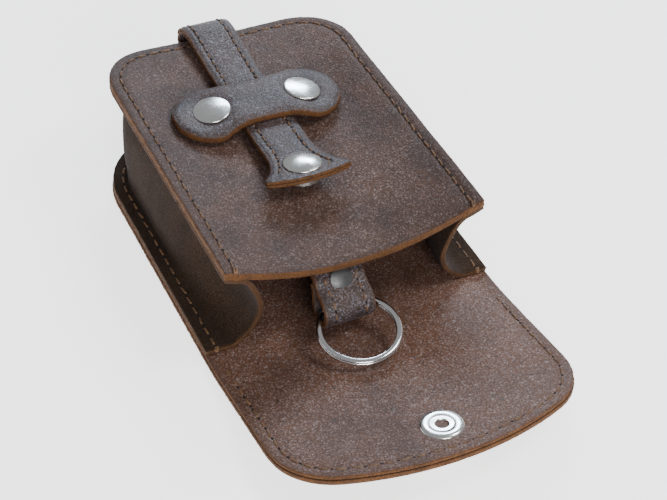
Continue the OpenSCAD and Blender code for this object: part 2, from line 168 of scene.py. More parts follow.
def leather(name, dark, mid, bloom_and_sheen, bloom_and_sheen_share, rough=0.5, shine=0.3, warm=(0.13, 0.05, 0.02)):
    """Waxed pull-up leather: blotches, a pale speckled bloom that is partly painted highlight, fine pores and
    creases.
    """
    m = Nodes(name)
    blotch = m.noise(26, 4, 0.6, distort=0.6)
    patch = m.noise(9, 3, 0.6)
    grain = m.noise(1.5, 4, 0.75)
    pores = m.cells(0.9)
    fine = m.noise(0.62, 3, 0.75)
    scuff = m.noise(5, 5, 0.75, (1, 0.35, 1), 1.2)
    colour = m.mix(m.ramp(blotch, 0.32, 0.7), dark, mid)
    colour = m.mix(m.ramp(patch, 0.35, 0.8, 0.0, 0.45), colour, warm)
    # The pale speckle is partly real wax bloom and partly painted highlight: its specks stand in for glints
    # of light on the grain.
    bloom_and_sheen_mask = m.math("MULTIPLY", m.ramp(fine, 0.485, 0.585), m.ramp(grain, 0.38, 0.60, 0.1, 1.0))
    bloom_and_sheen_mask = m.math("MULTIPLY", bloom_and_sheen_mask, m.ramp(blotch, 0.3, 0.62, 0.45, 1.0))
    bloom_and_sheen_mask = m.math("MULTIPLY", bloom_and_sheen_mask, bloom_and_sheen_share)
    colour = m.mix(bloom_and_sheen_mask, colour, bloom_and_sheen)
    rim = m.attribute("rim")
    colour = m.mix(m.ramp(rim, 0.25, 1.0, 0.0, 0.55), colour, dark)
    colour = m.mix(m.ramp(m.math("MULTIPLY", rim, scuff), 0.36, 0.62, 0.0, 0.7), colour, warm)
    colour = m.mix(m.ramp(pores, 0.0, 0.12, 0.75, 0.0), colour, (0.014, 0.008, 0.005))
    normal = m.bump(scuff, 0.25, 0.5)
    normal = m.bump(patch, 0.5, 0.35, normal)
    normal = m.bump(m.ramp(pores, 0.0, 0.16), 0.06, 0.8, normal)
    normal = m.bump(grain, 0.16, 0.9, normal)
    normal = m.bump(fine, 0.06, 0.7, normal)
    roughness = m.ramp(m.math("ADD", m.math("MULTIPLY", grain, 0.6), m.math("MULTIPLY", scuff, 0.4)),
                       0.3, 0.7, rough - 0.12, rough + 0.16)
    return m.set(Base_Color=colour, Roughness=roughness, Normal=normal, Specular_IOR_Level=shine,
                 Sheen_Weight=0.05, Sheen_Roughness=0.5, Sheen_Tint=(0.75, 0.8, 1.0))


def raw_edge(name, pale, dark):
    """The cut edge of a ply: fibrous, warm, darker in streaks."""
    m = Nodes(name)
    fibre = m.noise(0.5, 4, 0.7, (1, 1, 2.4))
    patch = m.noise(4, 3, 0.6)
    colour = m.mix(m.ramp(fibre, 0.36, 0.66), dark, pale)
    colour = m.mix(m.ramp(patch, 0.45, 0.75, 0.0, 0.6), colour, dark)
    normal = m.bump(fibre, 0.3, 1.0)
    return m.set(Base_Color=colour, Roughness=0.78, Normal=normal, Specular_IOR_Level=0.3)


def thread_material(name, colour, shade):
    m = Nodes(name)
    twist = m.noise(0.55, 2, 0.5)
    patch = m.noise(7, 3, 0.6)
    mixed = m.mix(m.ramp(twist, 0.35, 0.65), shade, colour)
    mixed = m.mix(m.ramp(patch, 0.45, 0.75, 0.0, 0.6), mixed, shade)
    return m.set(Base_Color=mixed, Roughness=0.55, Normal=m.bump(twist, 0.1, 0.8))


def steel_material(name, base, rough):
    m = Nodes(name)
    cloud = m.noise(4, 4, 0.6)
    scratch = m.noise(0.5, 3, 0.7, (1, 6, 1))
    roughness = m.ramp(m.math("ADD", cloud, m.math("MULTIPLY", scratch, 0.4)), 0.5, 0.95,
                       rough * 0.7, rough * 1.7)
    colour = m.mix(m.ramp(cloud, 0.35, 0.75), base, tuple(c * 0.86 for c in base))
    return m.set(Base_Color=colour, Metallic=1.0, Roughness=roughness, Normal=m.bump(scratch, 0.004, 0.15))


def flat_material(name, colour, rough):
    m = Nodes(name)
    return m.set(Base_Color=colour, Roughness=rough)


# Each leather is given its dark, middle and bloom colours, then the bloom's share, roughness and shine; the
# bloom is partly painted sheen
TOP = leather("leather_top", (0.028, 0.0115, 0.0062), (0.088, 0.037, 0.0195), (0.37, 0.30, 0.30),
              0.62, 0.56, 0.34)
# The strap's bloom is bluish to paint the reflection of the cool back window on its sheen.
STRAP = leather("leather_strap", (0.016, 0.0085, 0.0068), (0.046, 0.0255, 0.020), (0.33, 0.34, 0.43),
                0.72, 0.46, 0.42)
LINING = leather("leather_lining", (0.072, 0.0265, 0.012), (0.165, 0.069, 0.034), (0.47, 0.395, 0.40),
                 0.7, 0.54, 0.4)
# The gusset's colour is darkened to paint the shade on the side walls.
GUSSET_PAINTED_SHADE = leather("leather_gusset_painted_shade", (0.022, 0.0135, 0.0085), (0.046, 0.028, 0.018), (0.11, 0.086, 0.07),
                 0.3, 0.84, 0.08, (0.062, 0.032, 0.015))
FLESH = leather("leather_flesh", (0.050, 0.027, 0.014), (0.10, 0.058, 0.030), (0.16, 0.11, 0.07),
                0.4, 0.8, 0.15)
EDGE = raw_edge("leather_edge", (0.205, 0.084, 0.024), (0.036, 0.015, 0.007))
EDGE_DARK = raw_edge("leather_edge_dark", (0.12, 0.052, 0.018), (0.030, 0.014, 0.007))
THREAD = thread_material("thread", (0.20, 0.105, 0.048), (0.07, 0.034, 0.016))
# Near-black matte lumps that paint the shade inside the stitch holes.
HOLE_SHADE = flat_material("stitch_hole_shade", (0.008, 0.005, 0.004), 0.95)
STEEL = steel_material("steel", (0.78, 0.79, 0.78), 0.2)
# A darkened copy of the steel, which paints the shade under the front panel onto the loop rivet's cap.
STEEL_PAINTED_SHADE = steel_material("steel_painted_shade", (0.10, 0.10, 0.105), 0.4)
RING_STEEL = steel_material("ring_steel", (0.74, 0.74, 0.76), 0.14)


# ---- Meshes ----


def make(name, verts, faces, materials, face_material=None, **attributes):
    mesh = bpy.data.meshes.new(name)
    mesh.from_pydata((np.asarray(verts, float) * MM).tolist(), [], faces)
    for material in materials:
        mesh.materials.append(material)
    if face_material is not None:
        mesh.polygons.foreach_set("material_index", np.asarray(face_material, np.int32))
    for key, values in attributes.items():
        mesh.attributes.new(key, "FLOAT", "POINT").data.foreach_set("value", np.asarray(values, np.float32))
    mesh.polygons.foreach_set("use_smooth", np.ones(len(mesh.polygons), bool))
    mesh.update()
    mesh.set_sharp_from_angle(angle=math.radians(52))
    obj = bpy.data.objects.new(name, mesh)
    bpy.context.scene.collection.objects.link(obj)
    return obj


def unit(v):
    return v / np.maximum(np.linalg.norm(v, axis=-1, keepdims=True), 1e-9)


def wobble(points, size, seed):
    """Smooth noise from -1 to 1 at each point."""
    shift = Vector((seed * 7.3, seed * 3.1, seed * 1.7))
    flat = points.reshape(-1, 3) / size
    return np.array([noise.noise(Vector(p) + shift) for p in flat]).reshape(points.shape[:-1])


def plate(name, top, under, materials, rim=None, round_=0.35, cuts=(), ragged=0.08):
    """A closed sheet between two grids of points. Its free edges are rounded, and the sides in cuts
    are left flat. materials is (face, edge, underside)."""
    rows, cols = top.shape[:2]
    ring = (
        [(0, j) for j in range(cols)]
        + [(i, cols - 1) for i in range(1, rows)]
        + [(rows - 1, j) for j in range(cols - 2, -1, -1)]
        + [(i, 0) for i in range(rows - 2, 0, -1)]
    )
    at = np.array([i * cols + j for i, j in ring])
    flat_top, flat_under = top.reshape(-1, 3), under.reshape(-1, 3)
    ring_top, ring_under = flat_top[at], flat_under[at]
    normal = unit(ring_top - ring_under)
    tangent = np.roll(ring_top, -1, 0) - np.roll(ring_top, 1, 0)
    outward = unit(np.cross(tangent, normal))
    centre = flat_top.mean(0)
    if ((outward * (ring_top - centre)).sum(1)).mean() < 0:
        outward = -outward
    size = np.full(len(ring), float(round_))
    for k, (i, j) in enumerate(ring):
        if (i == 0 and "start" in cuts) or (i == rows - 1 and "end" in cuts):
            size[k] = 0.0
    thick = np.linalg.norm(ring_top - ring_under, axis=1)
    size = np.minimum(size, thick * 0.45)[:, None]
    loops = []
    for out, down in ((0.72, 0.28), (1.0, 1.0)):
        loops.append(ring_top + outward * size * out - normal * size * down)
    middle = (ring_top + ring_under) / 2 + outward * size * 1.05
    loops.append(middle)
    for out, down in ((1.0, 1.0), (0.72, 0.28)):
        loops.append(ring_under + outward * size * out + normal * size * down)
    jitter = random.normal(0, ragged, (len(loops), len(ring), 1)) * (size > 0)
    jitter[0] *= 0.3
    jitter[-1] *= 0.3
    loops = [loop + outward * jitter[k] for k, loop in enumerate(loops)]
    count, n = rows * cols, len(ring)
    verts = np.concatenate([flat_top, flat_under] + loops)
    grid = np.arange(count).reshape(rows, cols)
    a, b, c, d = grid[:-1, :-1].ravel(), grid[:-1, 1:].ravel(), grid[1:, 1:].ravel(), grid[1:, :-1].ravel()
    upper = np.stack([a, b, c, d], 1)
    lower = np.stack([d, c, b, a], 1) + count
    bands = [at] + [2 * count + k * n + np.arange(n) for k in range(5)] + [at + count]
    walls = []
    for k in range(6):
        p, q = bands[k], bands[k + 1]
        walls.append(np.stack([p, q, np.roll(q, -1), np.roll(p, -1)], 1))
    facing = np.cross(top[0, 1] - top[0, 0], top[1, 0] - top[0, 0]) @ (top[0, 0] - under[0, 0])
    faces = np.concatenate([upper, lower] + walls)
    if facing < 0:
        faces = faces[:, ::-1]
    kinds = np.concatenate(
        [np.zeros(len(upper)), np.full(len(lower), 2), np.zeros(n), np.ones(4 * n), np.full(n, 2)]
    )
    near = np.zeros(count) if rim is None else rim.ravel()
    near = np.concatenate([near, near] + [np.ones(n)] * 5)
    return make(name, verts, faces.tolist(), materials, kinds, rim=near)


def tube(name, path, radius, materials, sides=10, squash=1.0, normal=None, closed=False):
    """A round or oval wire along a path, with closed ends."""
    path = np.asarray(path, float)
    along = unit(np.gradient(path, axis=0))
    if closed:
        along = unit(np.roll(path, -1, 0) - np.roll(path, 1, 0))
    reference = np.array([0, 0, 1.0]) if normal is None else np.asarray(normal, float)
    side = unit(np.cross(along, reference))
    up = np.cross(side, along)
    angles = np.linspace(0, 2 * math.pi, sides, endpoint=False)
    radius = np.broadcast_to(radius, len(path))
    verts = (path[:, None] + radius[:, None, None] * (np.cos(angles)[None, :, None] * side[:, None]
             + squash * np.sin(angles)[None, :, None] * up[:, None])).reshape(-1, 3)
    faces = []
    for i in range(len(path) if closed else len(path) - 1):
        for k in range(sides):
            p, q, m = i * sides, (i + 1) % len(path) * sides, (k + 1) % sides
            faces.append([p + k, p + m, q + m, q + k])
    if not closed:
        faces += [list(range(sides))[::-1], list(range(len(verts) - sides, len(verts)))]
    return make(name, verts, faces, materials)


def lathe(name, profile, place, materials, sides=72):
    """A closed solid turned from a profile of (radius, height) that starts and ends on the axis."""
    profile = np.asarray(profile, float)
    angles = np.linspace(0, 2 * math.pi, sides, endpoint=False)
    verts, faces = [[0, 0, profile[0][1]]], []
    for r, h in profile[1:-1]:
        verts += [[r * math.cos(a), r * math.sin(a), h] for a in angles]
    verts.append([0, 0, profile[-1][1]])
    last = len(verts) - 1
    for k in range(sides):
        n = (k + 1) % sides
        faces.append([0, 1 + n, 1 + k])
        for i in range(len(profile) - 3):
            p, q = 1 + i * sides, 1 + (i + 1) * sides
            faces.append([p + k, p + n, q + n, q + k])
        faces.append([last - sides + k, last - sides + n, last])
    verts = np.array(verts) @ np.array(place.to_3x3()).T + np.array(place.translation)
    return make(name, verts, faces, materials)


def place(x, y, z, tilt_x=0.0, tilt_y=0.0):
    turn = Matrix.Rotation(math.radians(tilt_x), 4, "X") @ Matrix.Rotation(math.radians(tilt_y), 4, "Y")
    return Matrix.Translation((x, y, z)) @ turn


def stitches(name, path, normals, pitch=4.5, length=3.5, radius=0.36, sink=0.08):
    """A row of stitches along a path on a surface, each end going down a hole drawn as a near-black lump of
    painted shade.
    """
    path, normals = np.asarray(path, float), np.asarray(normals, float)
    run = np.concatenate([[0], np.cumsum(np.linalg.norm(np.diff(path, axis=0), axis=1))])
    count = max(1, round(run[-1] / pitch))
    pitch = run[-1] / count
    length = length * pitch / 4.5
    verts, faces, kinds = [], [], []

    def at(s):
        return (
            np.array([np.interp(s, run, path[:, k]) for k in range(3)]),
            unit(np.array([np.interp(s, run, normals[:, k]) for k in range(3)])),
        )

    def add(points, rows, sides, kind):
        base = len(verts)
        verts.extend(points.tolist())
        for i in range(rows - 1):
            for k in range(sides):
                n = (k + 1) % sides
                faces.append([base + i * sides + k, base + i * sides + n,
                              base + (i + 1) * sides + n, base + (i + 1) * sides + k])
        faces.append([base + k for k in range(sides)][::-1])
        faces.append([base + (rows - 1) * sides + k for k in range(sides)])
        kinds.extend([kind] * ((rows - 1) * sides + 2))

    steps, sides = 9, 8
    turn = np.linspace(0, 2 * math.pi, sides, endpoint=False)
    for i in range(count):
        middle = (i + 0.5) * pitch
        size = radius * random.uniform(0.88, 1.1)
        lean = random.normal(0, 0.07)
        rings = []
        for t in np.linspace(-1, 1, steps):
            p, n = at(middle + t * length / 2)
            q, _ = at(middle + t * length / 2 + 0.05)
            along = unit(q - p + 1e-12)
            across = np.cross(along, n)
            r = size * (1 - 0.45 * abs(t) ** 4) * (1 + 0.07 * math.sin(9 * t + i))
            centre = p + n * (size * 0.55 - sink - abs(t) ** 5 * size * 1.3) + across * lean * t * 2
            rings.append(centre + r * (np.cos(turn)[:, None] * across + np.sin(turn)[:, None] * n * 0.8))
        add(np.concatenate(rings), steps, sides, 0)
    for i in range(count + 1):
        p, n = at(min(max(i * pitch, 0.3), run[-1] - 0.3))
        q, _ = at(min(max(i * pitch, 0.3), run[-1] - 0.3) + 0.05)
        along = unit(q - p + 1e-12)
        across = np.cross(along, n)
        rings = [
            p + n * h + r * (np.cos(turn)[:, None] * across * 0.8 + np.sin(turn)[:, None] * along * 1.25)
            for h, r in ((-0.35, 0.2), (-0.1, 0.5), (0.05, 0.46), (0.09, 0.2))
        ]
        add(np.concatenate(rings), 4, sides, 1)
    obj = make(name, verts, faces, (THREAD, HOLE_SHADE), kinds)
    return obj


def knot(name, x, y, z, size=1.0):
    """A small lump of thread where a seam is finished off."""
    t = np.linspace(0, 1, 60)
    a = t * math.tau * 2.6
    path = np.stack([x + size * 0.8 * np.cos(a) * (0.6 + 0.4 * np.sin(5 * a / 2.6)),
                     y + size * 0.7 * np.sin(a), z + size * (0.35 + 0.45 * np.sin(2.2 * a))], 1)
    return tube(name, path, 0.3, (THREAD,), 8)


# ---- Outlines, read off the frame ----

low, high = (np.array(c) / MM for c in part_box("front_panel"))
HALF_W, FRONT_L, DEPTH = high[0], high[1], 35.4
CORNER_R, END_RISE, BACK_STEP, BACK_L = 19.0, 3.0, 5.5, 94.0
THICK, GUSSET_T, OUTER_T, LINING_T, PLY = 2.6, 1.8, 1.6, 1.4, 1.2
BACK_T = OUTER_T + LINING_T
BACK_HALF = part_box("back_leather")[1][0] / MM
FOLD_Y, FLAP_L, FLAP_MID_L = -5.0, 64.0, 40.0
FLAP_CORNER_R, FLAP_RISE = 20.0, 12.0
STRAP_X, STRAP_W, TAIL_W = -2.0, 16.4, 28.0
SEAM_IN = 3.5


def arc_radius(w, rise):
    return (w * w + rise * rise) / (2 * rise)


def corner_centre(w, length, r, rise):
    arc = arc_radius(w, rise)
    return length - arc + math.sqrt((arc - r) ** 2 - (w - r) ** 2)


def far_edge(x, w, length, r, rise):
    """How far a panel reaches at each x, with its rounded corners and shallow end arc."""
    arc = arc_radius(w, rise)
    corner_y, corner_x = corner_centre(w, length, r, rise), w - r
    join_x = corner_x + r * math.cos(math.atan2(corner_y - (length - arc), corner_x))
    rounded = corner_y + np.sqrt(np.maximum(0, r * r - np.maximum(0, np.abs(x) - corner_x) ** 2))
    shallow = length - arc + np.sqrt(arc * arc - np.minimum(np.abs(x), w) ** 2)
    return np.where(np.abs(x) < join_x, shallow, rounded)


def outline(w, length, r, rise, out, start=0.0, step=0.9, count=None):
    """Points and outward directions round a panel's three sewn sides, from right to left."""
    arc = arc_radius(w, rise)
    corner_y = corner_centre(w, length, r, rise)
    turn = math.atan2(corner_y - (length - arc), w - r)
    n_side = max(4, int((corner_y - start) / step))
    n_corner, n_end = max(6, int(r * turn / step)), max(6, int(arc * (math.pi - 2 * turn) / step))
    right = np.linspace(0, turn, n_corner, endpoint=False)
    far = np.linspace(turn, math.pi - turn, n_end, endpoint=False)
    left = np.linspace(math.pi - turn, math.pi, n_corner, endpoint=False)
    stations = [(w - r, y, r, 0.0) for y in np.linspace(start, corner_y, n_side, endpoint=False)]
    stations += [(w - r, corner_y, r, a) for a in right]
    stations += [(0, length - arc, arc, a) for a in far]
    stations += [(r - w, corner_y, r, a) for a in left]
    stations += [(r - w, y, r, math.pi) for y in np.linspace(corner_y, start, n_side + 1)]
    s = np.array(stations)
    if count is not None:
        want = np.linspace(0, len(s) - 1, count)
        s = np.stack([np.interp(want, np.arange(len(s)), s[:, k]) for k in range(4)], 1)
    normal = np.stack([np.cos(s[:, 3]), np.sin(s[:, 3])], 1)
    return s[:, :2] + (s[:, 2:3] + out) * normal, normal


def distance_to(points, path):
    """Distance in plan from each point to the nearest point of a path."""
    flat = points.reshape(-1, points.shape[-1])[:, :2]
    best = np.full(len(flat), 1e9)
    for x, y in path[:, :2]:
        best = np.minimum(best, np.hypot(flat[:, 0] - x, flat[:, 1] - y))
    return best.reshape(points.shape[:-1])


def keeper_dent(x, y):
    """How far the keeper's lobes press the front down."""
    u = np.abs(x - STRAP_X)
    return 1.2 * np.exp(-(((u - 26) / 9) ** 2)) * np.exp(-(((y - 69) / 15) ** 2))


def front_z(x, y):
    """Height of the front panel's upper face: a sag across the middle that is deepest at the mouth, and the
    keeper's pressure marks.
    """
    across = 1 - np.minimum(1, np.abs(x) / HALF_W) ** 2
    sag = (6 * np.maximum(0, 1 - y / FRONT_L) ** 1.5 + 4) * across
    return DEPTH - sag - keeper_dent(x, y)


def front_waves(points):
    return 0.28 * wobble(points, 17, 1) + 0.10 * wobble(points, 6, 2)


def front_shape():
    """The front's upper face as a grid of points, and how near each one is to an edge."""
    cols, rows, inset = 110, 124, 0.35
    half = HALF_W - inset
    t = np.linspace(-1, 1, cols)
    x = 0.55 * half * np.sin(t * math.pi / 2) + 0.45 * half * t
    far = far_edge(x, half, FRONT_L - inset, CORNER_R - inset, END_RISE)
    v = np.linspace(0, 1, rows)
    v = v + 0.05 * np.sin(2 * math.pi * v) / math.pi
    points = np.zeros((rows, cols, 3))
    points[..., 0] = x[None]
    points[..., 1] = inset + v[:, None] * (far[None] - inset)
    border, _ = outline(HALF_W, FRONT_L, CORNER_R, END_RISE, 0, 0, 1.2)
    d = distance_to(points, border)
    seam, _ = outline(HALF_W, FRONT_L, CORNER_R, END_RISE, -SEAM_IN, 0, 0.7)
    ds = distance_to(points, seam)
    z = front_z(points[..., 0], points[..., 1]) + front_waves(points)
    z -= 0.32 * np.exp(-((ds / 1.1) ** 2))
    z -= 0.5 * np.exp(-((d / 1.6) ** 2))
    z -= 0.25 * np.exp(-points[..., 1] / 2.2)
    points[..., 2] = z
    rim = np.clip(np.exp(-np.minimum(d, points[..., 1] * 1.3) / 2.6), 0, 1)
    return points, rim


points, rim = front_shape()
under = points - np.array([0, 0, THICK])
front = plate("front", points, under, (TOP, EDGE, FLESH), rim, 0.45, ragged=0.1)
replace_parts(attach(front, "case"), "front_panel")

path, _ = outline(HALF_W, FRONT_L, CORNER_R, END_RISE, -SEAM_IN, 1.2, 0.8)
flat = np.column_stack([path, 0 * path[:, 0]])
z = front_z(path[:, 0], path[:, 1]) + front_waves(flat) - 0.22
row = stitches("front_stitches", np.column_stack([path, z]), np.tile([0, 0, 1.0], (len(path), 1)))
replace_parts(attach(row, "case"), "front_seam")
for side, word in ((-1, "left"), (1, "right")):
    x = side * (HALF_W - SEAM_IN)
    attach(knot(f"front_knot_{word}", x, 1.0, DEPTH - 2.0), "case")


# ---- Gusset ----

# Points down the section: distance in from the panels' edges, share of the height
MOUTH_SECTION = np.array([[0.4, 1], [3.5, 1], [6.6, 1], [9, 0.9], [11, 0.7], [11.6, 0.5],
                          [10.4, 0.3], [7.4, 0.12], [3, 0], [-1, 0], [-5, 0]])
FAR_SECTION = np.array([[0.4, 1], [3.5, 1], [6.0, 1], [5.6, 0.9], [3.4, 0.7], [1.8, 0.5],
                        [0.8, 0.3], [0.8, 0.12], [0, 0], [-2, 0], [-5, 0]])
UNFOLD_Y = 60
SLOT_X, SLOT_Y, SLOT_Z = (-11.7, 7.7), (97, 107), (22.7, 26.6)


def curve(points, count):
    """A smooth curve through points, as count points evenly spaced along it."""
    points = np.asarray(points, float)
    p = np.concatenate([[2 * points[0] - points[1]], points, [2 * points[-1] - points[-2]]])
    out = []
    for i in range(1, len(p) - 2):
        for t in np.linspace(0, 1, 24, endpoint=False):
            a, b, c, d = p[i - 1], p[i], p[i + 1], p[i + 2]
            square, cube = 2 * a - 5 * b + 4 * c - d, 3 * b - a - 3 * c + d
            out.append(0.5 * (2 * b + (c - a) * t + square * t**2 + cube * t**3))
    out = np.array(out + [points[-1]])
    run = np.concatenate([[0], np.cumsum(np.linalg.norm(np.diff(out, axis=0), axis=1))])
    want = np.linspace(0, run[-1], count)
    return np.stack([np.interp(want, run, out[:, k]) for k in range(out.shape[1])], 1)


def gusset_shape():
    """The gusset folds in at the mouth and stands nearly straight round the closed end."""
    mouth = curve(MOUTH_SECTION * [1, 30], 46) / [1, 30]
    far = curve(FAR_SECTION * [1, 30], 46) / [1, 30]
    edge, normal = outline(HALF_W, FRONT_L, CORNER_R, END_RISE, 0, 0.35, 1.1)
    foot, _ = outline(HALF_W, BACK_L, CORNER_R, END_RISE, 0, 0.35, 1.1, len(edge))
    n, m = len(edge), len(mouth)
    opened = np.clip(edge[:, 1] / UNFOLD_Y, 0, 1)
    opened = (opened * opened * (3 - 2 * opened))[:, None, None]
    section = mouth[None] * (1 - opened) + far[None] * opened
    line = np.zeros((n, m, 3))
    drop = 1 - np.clip(section[..., 1:], 0, 1)
    xy = edge[:, None] - normal[:, None] * section[..., :1]
    top = front_z(xy[..., 0], xy[..., 1]) - THICK - GUSSET_T / 2 - 0.02
    bottom = BACK_T + GUSSET_T / 2 + 0.03
    line[..., :2] = xy + (foot - edge)[:, None] * drop
    line[..., 2] = bottom + (top - bottom) * section[..., 1]
    free = np.clip(np.sin(np.clip(section[0, :, 1], 0, 1) * math.pi), 0, 1)[None]
    swell = 0.7 * wobble(line, 26, 5) + 0.25 * wobble(line, 9, 6)
    line[..., :2] += normal[:, None] * (swell * free)[..., None]
    along = unit(np.gradient(line, axis=0))
    down = unit(np.gradient(line, axis=1))
    out = unit(np.cross(down, along))
    if out[n // 2, m // 2, 1] < 0:
        out = -out
    return line + out * GUSSET_T / 2, line - out * GUSSET_T / 2


outer, inner = gusset_shape()
place_along = np.arange(len(outer))
ends = np.minimum(place_along, place_along[::-1]) * 1.1
rim = np.broadcast_to(np.exp(-ends / 2.5)[:, None], outer.shape[:2])
gusset = plate("gusset_strip", outer, inner, (GUSSET_PAINTED_SHADE, EDGE_DARK, GUSSET_PAINTED_SHADE), rim, 0.4)
cutter = make("cutter", [[x, y, z] for x in SLOT_X for y in SLOT_Y for z in SLOT_Z],
              [[0, 1, 3, 2], [4, 6, 7, 5], [0, 4, 5, 1], [2, 3, 7, 6], [0, 2, 6, 4], [1, 5, 7, 3]], (GUSSET_PAINTED_SHADE,))
cut = gusset.modifiers.new("slot", "BOOLEAN")
cut.operation, cut.object, cut.solver = "DIFFERENCE", cutter, "EXACT"
bpy.context.view_layer.update()
gusset.data = bpy.data.meshes.new_from_object(gusset.evaluated_get(bpy.context.evaluated_depsgraph_get()))
gusset.modifiers.clear()
bpy.data.objects.remove(cutter)
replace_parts(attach(gusset, "case"), "gusset")


# ---- Back and flap ----

STEP = 0.25
flat_v = np.arange(FRONT_L + 10, FOLD_Y - FLAP_L - 2, -STEP)


def slope_at(v):
    def ease(x):
        x = np.clip(x, 0, 1)
        return x * x * (3 - 2 * x)

    first = ease((FOLD_Y + 8 - v) / 16)
    second = ease((FOLD_Y - FLAP_MID_L + 7 - v) / 14)
    return np.radians(8 * first + 5 * second)


slopes = slope_at(flat_v)
flat_y = FRONT_L + 10 - np.concatenate([[0], np.cumsum(np.cos(slopes[:-1]) * STEP)])
flat_z = np.concatenate([[0], np.cumsum(np.sin(slopes[:-1]) * STEP)])


def on_back(x, v, height):
    """A point of the back or flap from its flat cut: x across, v along, height above the underside."""
    v = np.asarray(v, float)
    y = np.interp(-v, -flat_v, flat_y)
    z = np.interp(-v, -flat_v, flat_z)
    a = slope_at(v)
    lift = flap_wave(x, v)
    return np.stack([np.broadcast_to(x, v.shape), y + np.sin(a) * height, z + lift + np.cos(a) * height], -1)


def flap_wave(x, v):
    """The open flap is not quite flat: it dips in the middle and its corners lift a little."""
    s = np.clip((FOLD_Y - v) / FLAP_L, 0, 1)
    return s**1.5 * (0.9 * (x / BACK_HALF) ** 2 - 0.3 * np.sin(v / 9.0 + x / 23.0) * s)


def back_grid(v_low, v_high, rows, inset):
    """x and v over a piece of the back and flap. A limit of None means out to the rounded end."""
    cols = 104
    t = np.linspace(-1, 1, cols)
    w = BACK_HALF - inset
    x = w * (0.55 * np.sin(t * math.pi / 2) + 0.45 * t)
    low_v = np.full(cols, float(v_low)) if v_low is not None else (
        FOLD_Y - far_edge(x, w, FLAP_L - inset, FLAP_CORNER_R - inset, FLAP_RISE))
    high_v = np.full(cols, float(v_high)) if v_high is not None else (
        far_edge(x, w, BACK_L + BACK_STEP - inset, CORNER_R + BACK_STEP - inset, END_RISE * w / HALF_W))
    v = low_v[None] + np.linspace(0, 1, rows)[:, None] * (high_v - low_v)[None]
    return np.broadcast_to(x[None], v.shape), v


def flat_border(inset):
    """The closed flat outline of the back and flap: points from the far right round to the flap's left."""
    case, _ = outline(HALF_W, BACK_L, CORNER_R, END_RISE, BACK_STEP - inset, FOLD_Y, 0.9)
    flap, _ = outline(BACK_HALF, FLAP_L, FLAP_CORNER_R, FLAP_RISE, -inset, 0, 0.9)
    flap = -flap + [0, FOLD_Y]
    return case, flap


case_edge, flap_edge = flat_border(0)
case_seam, flap_seam = flat_border(SEAM_IN)


def back_piece(name, low_height, high_height, v_low, v_high, rows, materials, cuts, inset,
               bodies, start, end, nodes):
    """One ply of the back or flap. Its bodies, start and end are not used."""
    x, v = back_grid(v_low, v_high, rows, inset)
    flat = np.stack([x, v], -1)
    d = distance_to(flat, np.concatenate([case_edge, flap_edge]))
    groove = np.exp(-((distance_to(flat, np.concatenate([case_seam, flap_seam])) / 1.1) ** 2))
    soft = 0.10 * wobble(np.stack([x, v, x * 0 + 9.0], -1), 13, 8) if high_height > OUTER_T + 0.1 else 0
    on_flap = 1 / (1 + np.exp((v - FOLD_Y + 6) / 3))
    top = on_back(x, v, high_height)
    if high_height > OUTER_T + 0.1:
        drop = (0.28 * groove + 0.3 * np.exp(-((d / 1.5) ** 2))) * on_flap - soft * on_flap
    else:
        drop = 0 * x
    top = top - np.stack([0 * x, 0 * x, drop], -1)
    bottom = on_back(x, v, low_height)
    rim = np.exp(-d / 2.6)
    obj = plate(name, top, bottom, materials, rim, 0.35, cuts, 0.07)
    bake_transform(obj)
    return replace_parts(obj, *nodes)


SPLIT = -25.0
fold_a = (("case", "flap_mid"), (0, 3.0, 1.5), (0, -12.0, 1.5))
fold_b = (("flap_mid", "flap_tip"), (0, -37.0, 7.0), (0, -52.0, 7.0))
OUTSIDE = (FLESH, EDGE, TOP)
INSIDE = (LINING, EDGE, FLESH)
pieces = [
    back_piece("back_outer", 0.0, OUTER_T - 0.02, SPLIT, None, 120, OUTSIDE, ("start",), 0.35, *fold_a,
               ("back_leather", "flap_mid_leather")),
    back_piece("back_inner", OUTER_T + 0.02, BACK_T, SPLIT, None, 120, INSIDE, ("start",), 0.55, *fold_a,
               ("back_lining", "flap_mid_lining")),
    back_piece("flap_outer", 0.0, OUTER_T - 0.02, None, SPLIT, 56, OUTSIDE, ("end",), 0.35, *fold_b,
               ("flap_tip_leather",)),
    back_piece("flap_inner", OUTER_T + 0.02, BACK_T, None, SPLIT, 56, INSIDE, ("end",), 0.55, *fold_b,
               ("flap_tip_lining",)),
]


def back_stitches(name, flat, height):
    points = on_back(flat[:, 0], flat[:, 1], height)
    normal = np.stack([0 * flat[:, 0], np.sin(slope_at(flat[:, 1])), np.cos(slope_at(flat[:, 1]))], -1)
    return stitches(name, points, normal)


case_path, _ = outline(HALF_W, BACK_L, CORNER_R, END_RISE, BACK_STEP - SEAM_IN, 1.0, 0.8)
row = back_stitches("back_stitches", case_path, BACK_T + GUSSET_T + 0.03)
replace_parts(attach(row, "case"), "back_seam")
for side, word in ((1, "left"), (-1, "right")):
    chain = flap_seam[flap_seam[:, 0] * side < 0]
    chain = chain[np.argsort(-chain[:, 1])]
    run = chain[chain[:, 1] > SPLIT - 0.2]
    run = np.concatenate([[[run[0][0], FOLD_Y + 3.2]], run])
    row = back_stitches(f"flap_side_stitches_{word}", run, BACK_T - 0.28)
    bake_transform(row)
    if side == 1:
        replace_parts(row, "flap_mid_seam")
    lump = knot(f"back_knot_{word}", side * -(BACK_HALF - SEAM_IN), 0.2, BACK_T + GUSSET_T - 0.6, 0.9)
    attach(lump, "case")
order = flap_seam[flap_seam[:, 1] < SPLIT - 0.2]
row = back_stitches("flap_end_stitches", order, BACK_T - 0.28)
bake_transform(row)
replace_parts(row, "flap_tip_seam")


# ---- Keeper over the strap ----

RIVET_Y, RIVET_U = 68.0, 15.5
LOBE_R, WAIST_R = 12.2, 9.3
KEEPER_LEAN = 9.5


